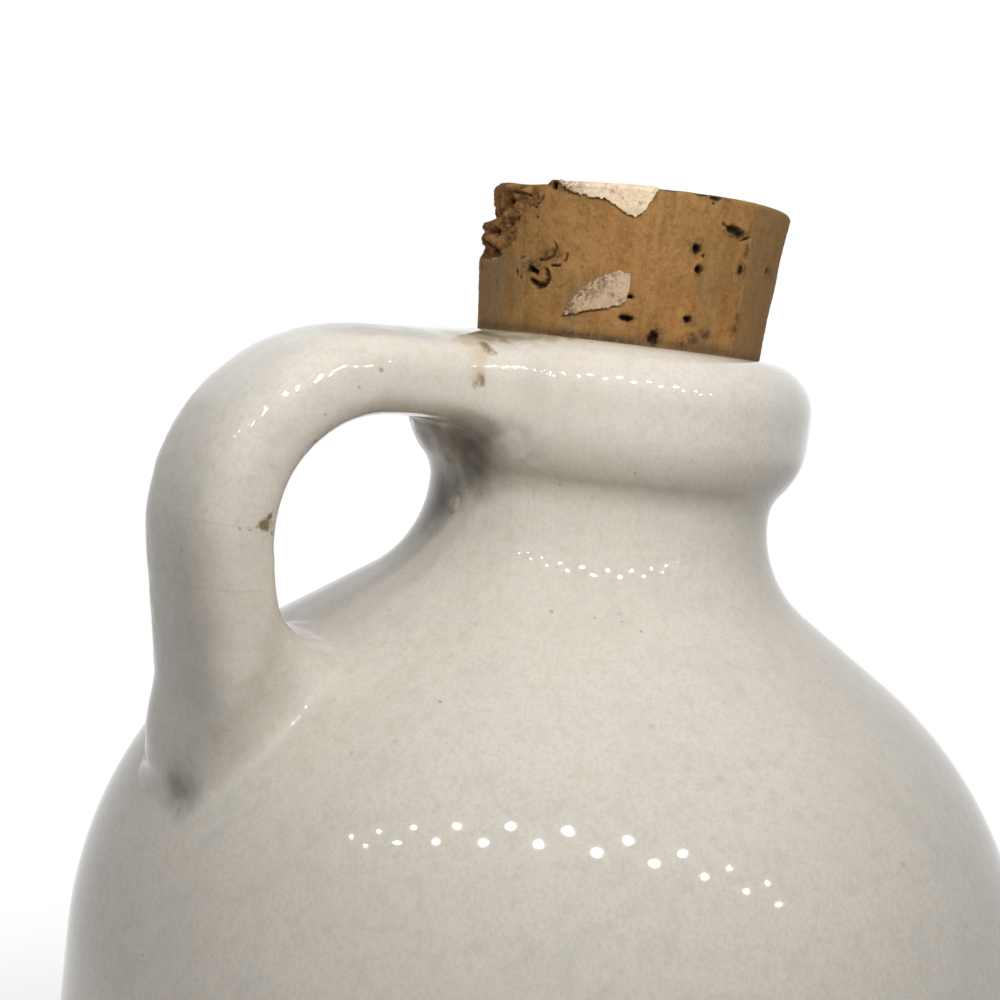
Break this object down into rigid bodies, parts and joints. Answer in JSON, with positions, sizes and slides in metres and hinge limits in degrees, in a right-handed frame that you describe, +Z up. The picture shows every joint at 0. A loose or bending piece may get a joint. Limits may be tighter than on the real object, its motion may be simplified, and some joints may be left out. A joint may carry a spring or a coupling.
{
  "type": "stoneware jug",
  "caption": "Small glazed stoneware jug with a rolled lip, rounded shoulder and loop handle, closed by a tapered natural cork that lifts out.",
  "frame": {"origin": "centre of the foot's resting face", "axes": "+Z up along the jug's axis towards the cork; the handle stands on the -X side, in the XZ plane"},
  "size_m": [0.118, 0.118, 0.1778],
  "materials": {
    "glaze": "glossy off-white stoneware glaze with fine grey-brown mottling",
    "foot": "bare fired stoneware under the foot",
    "cork": "dull natural cork with dark pits and worn edges",
    "cream_paper": "torn matt paper",
    "grey_paper": "torn and rubbed matt paper"
  },
  "bodies": {
    "jug": {"jug_body": "glaze", "handle": "glaze"},
    "stopper": {"cork": "cork", "top_paper": "cream_paper", "side_paper": "grey_paper"}
  },
  "joints": [
    {"name": "cork_lift", "type": "slide", "parent": "jug", "child": "stopper", "axis": [0, 0, 1], "range_m": [0, 0.06]}
  ]
}
